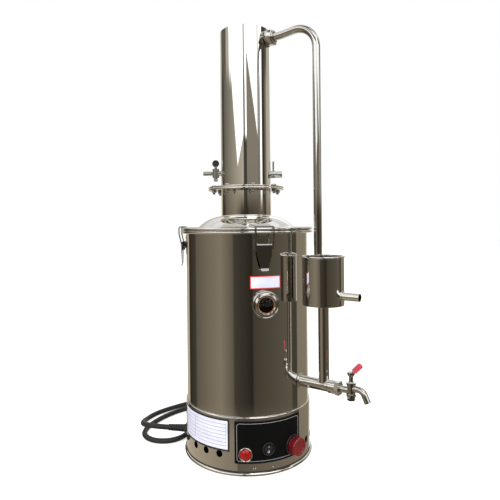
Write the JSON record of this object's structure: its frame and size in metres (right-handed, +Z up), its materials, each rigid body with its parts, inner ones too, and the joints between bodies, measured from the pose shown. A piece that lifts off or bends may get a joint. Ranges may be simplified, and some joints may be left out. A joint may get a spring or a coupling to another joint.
{
  "type": "laboratory water distiller",
  "caption": "Upright electric water still: polished steel boiler with sight window and switches, latched domed lid, bolted tall condenser, side level cup, drain tap and mains lead.",
  "frame": {"origin": "centre of the underside of the base", "axes": "+Z up along the boiler and condenser, -Y towards the front with the switches, +X to the side of the level cup and tap"},
  "size_m": [0.426, 0.4547, 0.7898],
  "materials": {
    "polished_steel": "mirror-polished stainless sheet",
    "spring_wire": "bright drawn spring wire",
    "inner_steel": "plain mill-finish stainless",
    "fastener_steel": "machined steel fasteners",
    "chromed_brass": "bright plated fittings",
    "seal_rubber": "black moulded rubber",
    "pale_gasket": "pale silicone sheet",
    "orange_gasket": "orange-brown silicone ring",
    "window_glass": "clear round window",
    "black_panel": "satin black plate",
    "lamp_ring": "bright lamp ring",
    "lamp_red": "translucent red lens",
    "switch_black": "black moulded switch case",
    "rocker_black": "black rocker",
    "button_red": "translucent red button",
    "grip_red": "soft red sleeve",
    "terminal_plastic": "pale moulded block",
    "gland_plastic": "black gland with moulded boot",
    "cord_rubber": "black rubber sheath",
    "plug_rubber": "black moulded plug"
  },
  "bodies": {
    "still": {"barrel": "polished_steel", "barrel_rim": "polished_steel", "base_plate": "inner_steel", "base_screws": "fastener_steel", "base_shell": "polished_steel", "boiler_floor": "inner_steel", "bottom_ring": "polished_steel", "button_housing": "switch_black", "cable_gland": "gland_plastic", "condenser_cap": "polished_steel", "condenser_jacket": "polished_steel", "condensing_vessel": "inner_steel", "control_panel": "black_panel", "distillate_spigot": "polished_steel", "drain_nozzle": "polished_steel", "feed_pipe": "polished_steel", "flange_bolts": "fastener_steel", "flange_gasket": "pale_gasket", "flange_nuts": "fastener_steel", "heater": "inner_steel", "inlet_cock": "chromed_brass", "lamp_holder": "lamp_ring", "lamp_lens": "lamp_red", "latch_plates": "polished_steel", "level_cup": "polished_steel", "level_probe": "inner_steel", "lid": "polished_steel", "lid_seal": "seal_rubber", "lower_flange": "polished_steel", "neck": "polished_steel", "outlet_boss": "polished_steel", "outlet_washer": "polished_steel", "plug": "plug_rubber", "power_cord": "cord_rubber", "return_pipe": "polished_steel", "side_arm": "polished_steel", "sight_bezel": "polished_steel", "sight_boss": "polished_steel", "sight_gasket": "orange_gasket", "sight_glass": "window_glass", "steam_baffle": "inner_steel", "steam_riser": "inner_steel", "switch_housing": "switch_black", "tap_body": "chromed_brass", "terminal_block": "terminal_plastic", "tray_plate": "inner_steel", "union_nut": "chromed_brass", "upper_flange": "polished_steel"},
    "tap_handle": {"tap_plug": "chromed_brass", "tap_grip": "grip_red", "tap_bottom_nut": "chromed_brass"},
    "cock_handle": {"cock_key": "chromed_brass"},
    "rocker": {"switch_rocker": "rocker_black"},
    "button": {"button_cap": "button_red"},
    "lever_1": {"latch_lever_1": "polished_steel"},
    "bail_1": {"latch_bail_1": "spring_wire"},
    "lever_2": {"latch_lever_2": "polished_steel"},
    "bail_2": {"latch_bail_2": "spring_wire"},
    "lever_3": {"latch_lever_3": "polished_steel"},
    "bail_3": {"latch_bail_3": "spring_wire"}
  },
  "joints": [
    {"name": "lever_turn_1", "type": "hinge", "parent": "still", "child": "lever_1", "pos_m": [0.02913, -0.11682, 0.388], "axis": [-0.9703, -0.2419, 0], "range_deg": [0, 120]},
    {"name": "bail_turn_1", "type": "hinge", "parent": "lever_1", "child": "bail_1", "pos_m": [0.02942, -0.11799, 0.3805], "axis": [-0.9703, -0.2419, 0], "range_deg": [-138, 0]},
    {"name": "lever_turn_2", "type": "hinge", "parent": "still", "child": "lever_2", "pos_m": [0.07577, 0.09357, 0.388], "axis": [0.7771, -0.6293, 0], "range_deg": [0, 120]},
    {"name": "bail_turn_2", "type": "hinge", "parent": "lever_2", "child": "bail_2", "pos_m": [0.07652, 0.0945, 0.3805], "axis": [0.7771, -0.6293, 0], "range_deg": [-138, 0]},
    {"name": "lever_turn_3", "type": "hinge", "parent": "still", "child": "lever_3", "pos_m": [-0.12033, 0.0042, 0.388], "axis": [0.0349, 0.9994, 0], "range_deg": [0, 120]},
    {"name": "bail_turn_3", "type": "hinge", "parent": "lever_3", "child": "bail_3", "pos_m": [-0.12153, 0.00424, 0.3805], "axis": [0.0349, 0.9994, 0], "range_deg": [-138, 0]},
    {"name": "tap_turn", "type": "hinge", "parent": "still", "child": "tap_handle", "pos_m": [0.17192, -0.1249, 0.145], "axis": [0, 0, 1], "range_deg": [0, 90]},
    {"name": "cock_turn", "type": "hinge", "parent": "still", "child": "cock_handle", "pos_m": [-0.058, 0, 0.5215], "axis": [0, 0, 1], "range_deg": [0, 90]},
    {"name": "rocker_turn", "type": "hinge", "parent": "still", "child": "rocker", "pos_m": [0.03399, -0.11331, 0.044], "axis": [0.9578, 0.2874, 0], "range_deg": [-18, 0]},
    {"name": "button_press", "type": "slide", "parent": "still", "child": "button", "axis": [-0.6574, 0.7536, 0], "range_m": [0, 0.003], "stiffness_N_per_m": 400}
  ],
  "couplings": [
    {"joint": "bail_turn_1", "follows": "lever_turn_1", "ratio": -1.15},
    {"joint": "bail_turn_2", "follows": "lever_turn_2", "ratio": -1.15},
    {"joint": "bail_turn_3", "follows": "lever_turn_3", "ratio": -1.15}
  ]
}
